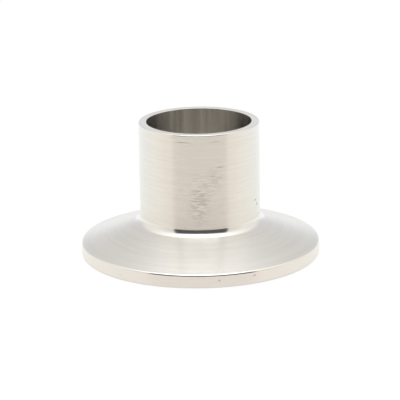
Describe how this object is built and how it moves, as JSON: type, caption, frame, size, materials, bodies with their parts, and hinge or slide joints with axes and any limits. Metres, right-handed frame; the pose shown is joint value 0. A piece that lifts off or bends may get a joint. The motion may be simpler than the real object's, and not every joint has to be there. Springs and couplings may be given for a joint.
{
  "type": "sanitary clamp ferrule",
  "caption": "Turned stainless clamp ferrule: a thin tube end with a through bore on a round flange with a coned back and a gasket groove in its flat face.",
  "frame": {"origin": "centre of the flat clamp face, on the axis of the bore", "axes": "+Z runs along the tube from the clamp face to the weld end; the part is round about Z, so X and Y are alike"},
  "size_m": [0.0506, 0.0506, 0.0286],
  "materials": {
    "stainless_steel": "bright turned and lightly polished stainless steel, with fine marks running round the axis"
  },
  "bodies": {
    "root": {"ferrule": "stainless_steel"}
  },
  "joints": []
}
